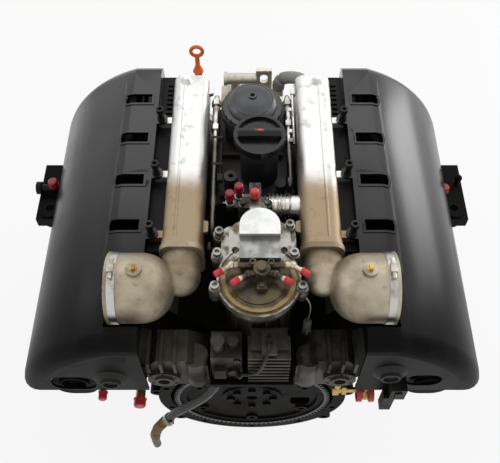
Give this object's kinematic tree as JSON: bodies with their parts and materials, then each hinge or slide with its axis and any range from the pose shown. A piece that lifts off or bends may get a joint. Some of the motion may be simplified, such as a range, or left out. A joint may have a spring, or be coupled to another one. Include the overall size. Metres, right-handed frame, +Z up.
{
  "type": "diesel engine",
  "caption": "V-type diesel engine with rounded black side covers, cast intake tubes, central pump, screw-off filter and filler caps, flywheel-end bell housing, dipstick and turning crank train.",
  "frame": {"origin": "on the crank axis, at the face of the crankshaft flange that carries the drive plate", "axes": "X across the engine, +Y away from the gearbox along the crank axis, +Z up"},
  "size_m": [0.807, 0.679, 0.6325],
  "materials": {
    "cast_block": "rough cast, oily",
    "cast_alu": "sand cast, stained",
    "oily_alu": "machined and cast, brown oil film",
    "steel": "turned, dull",
    "dark_steel": "black phosphate",
    "black_paint": "satin black",
    "rust": "heat-stained cast iron",
    "black_cover": "moulded, worn, glossy",
    "black_plastic": "moulded, dusty",
    "grey_plastic": "moulded, oily",
    "rubber": "moulded",
    "grey_hose": "smooth",
    "brown_hose": "oily",
    "beige_pipe": "stained casting",
    "brass": "oily, tarnished",
    "red_cap": "soft moulded",
    "orange_handle": "moulded",
    "filter_paper": "pleated",
    "chrome_bolt": "zinc plated"
  },
  "bodies": {
    "engine": {"crankcase": "cast_block", "bedplate": "cast_block", "sump": "cast_alu", "drain_plug": "brass", "main_bearings": "steel", "gear_housing": "oily_alu", "front_cover": "cast_alu", "head_left": "cast_alu", "head_right": "cast_alu", "cam_covers": "black_plastic", "side_cover_left": "black_cover", "side_cover_right": "black_cover", "cover_plugs": "rubber", "cover_strips": "black_plastic", "exhaust_manifold_left": "rust", "exhaust_manifold_right": "rust", "intake_tube_left": "cast_alu", "intake_tube_right": "cast_alu", "intake_elbow_left": "cast_alu", "intake_elbow_right": "cast_alu", "clamp_bands": "steel", "lug_bolts": "dark_steel", "filter_housing": "grey_plastic", "fuel_pipe_left": "steel", "fuel_pipe_right": "steel", "union_nuts": "chrome_bolt", "coolant_bridge": "beige_pipe", "coolant_hose": "grey_hose", "pump_body": "oily_alu", "pump_cover": "oily_alu", "port_distributor": "beige_pipe", "transport_caps": "red_cap", "pump_bolts": "chrome_bolt", "bellows_pipe": "steel", "dipstick_tube": "dark_steel", "rib_housing_left": "oily_alu", "rib_housing_right": "oily_alu", "finned_block": "beige_pipe", "valve_block": "oily_alu", "breather_pipe": "brown_hose", "brass_fittings": "brass", "mount_arm_left": "black_paint", "mount_arm_right": "black_paint", "side_elbow": "black_plastic", "plug_connector": "black_plastic"},
    "crank": {"crankshaft": "steel", "drive_plate": "dark_steel", "ring_gear": "dark_steel", "damper": "dark_steel"},
    "idler_left": {"idler_gear_left": "steel"},
    "idler_right": {"idler_gear_right": "steel"},
    "cam_left": {"camshaft_left": "steel"},
    "cam_right": {"camshaft_right": "steel"},
    "flap_left": {"flap_left": "brass"},
    "flap_right": {"flap_right": "brass"},
    "filter_element": {"filter_element": "filter_paper"},
    "filter_cap": {"filter_cap": "grey_plastic"},
    "filler_seal": {"filler_seal": "rubber"},
    "filler_cap": {"filler_cap": "black_plastic"},
    "dipstick": {"dipstick": "orange_handle"}
  },
  "joints": [
    {"name": "crank_spin", "type": "hinge", "parent": "engine", "child": "crank", "pos_m": [0, 0, 0], "axis": [0, 1, 0], "continuous": true},
    {"name": "idler_left_spin", "type": "hinge", "parent": "engine", "child": "idler_left", "pos_m": [-0.085, 0.026, 0.0804], "axis": [0, 1, 0], "continuous": true},
    {"name": "idler_right_spin", "type": "hinge", "parent": "engine", "child": "idler_right", "pos_m": [0.085, 0.026, 0.0804], "axis": [0, 1, 0], "continuous": true},
    {"name": "cam_left_spin", "type": "hinge", "parent": "engine", "child": "cam_left", "pos_m": [-0.19086, 0.026, 0.19086], "axis": [0, 1, 0], "continuous": true},
    {"name": "cam_right_spin", "type": "hinge", "parent": "engine", "child": "cam_right", "pos_m": [0.19086, 0.026, 0.19086], "axis": [0, 1, 0], "continuous": true},
    {"name": "flap_left_turn", "type": "hinge", "parent": "engine", "child": "flap_left", "pos_m": [-0.164, 0.036, 0.334], "axis": [0, 0, 1], "range_deg": [-80, 0], "stiffness_Nm_per_rad": 0.2},
    {"name": "flap_right_turn", "type": "hinge", "parent": "engine", "child": "flap_right", "pos_m": [0.164, 0.036, 0.334], "axis": [0, 0, 1], "range_deg": [0, 80], "stiffness_Nm_per_rad": 0.2},
    {"name": "filter_lift", "type": "slide", "parent": "engine", "child": "filter_element", "axis": [0, 0, 1], "range_m": [0, 0.16]},
    {"name": "filter_cap_turn", "type": "hinge", "parent": "filter_element", "child": "filter_cap", "pos_m": [0.001, 0.371, 0.35], "axis": [0, 0, 1], "range_deg": [0, 720]},
    {"name": "filler_lift", "type": "slide", "parent": "engine", "child": "filler_seal", "axis": [0, 0, 1], "range_m": [0, 0.05]},
    {"name": "filler_cap_turn", "type": "hinge", "parent": "filler_seal", "child": "filler_cap", "pos_m": [0.012, 0.2785, 0.381], "axis": [0, 0, 1], "range_deg": [0, 90]},
    {"name": "dipstick_pull", "type": "slide", "parent": "engine", "child": "dipstick", "axis": [0, 0, 1], "range_m": [0, 0.46]}
  ],
  "couplings": [
    {"joint": "idler_left_spin", "follows": "crank_spin", "ratio": -0.44444},
    {"joint": "idler_right_spin", "follows": "crank_spin", "ratio": -0.44444},
    {"joint": "cam_left_spin", "follows": "crank_spin", "ratio": 0.5},
    {"joint": "cam_right_spin", "follows": "crank_spin", "ratio": 0.5}
  ]
}
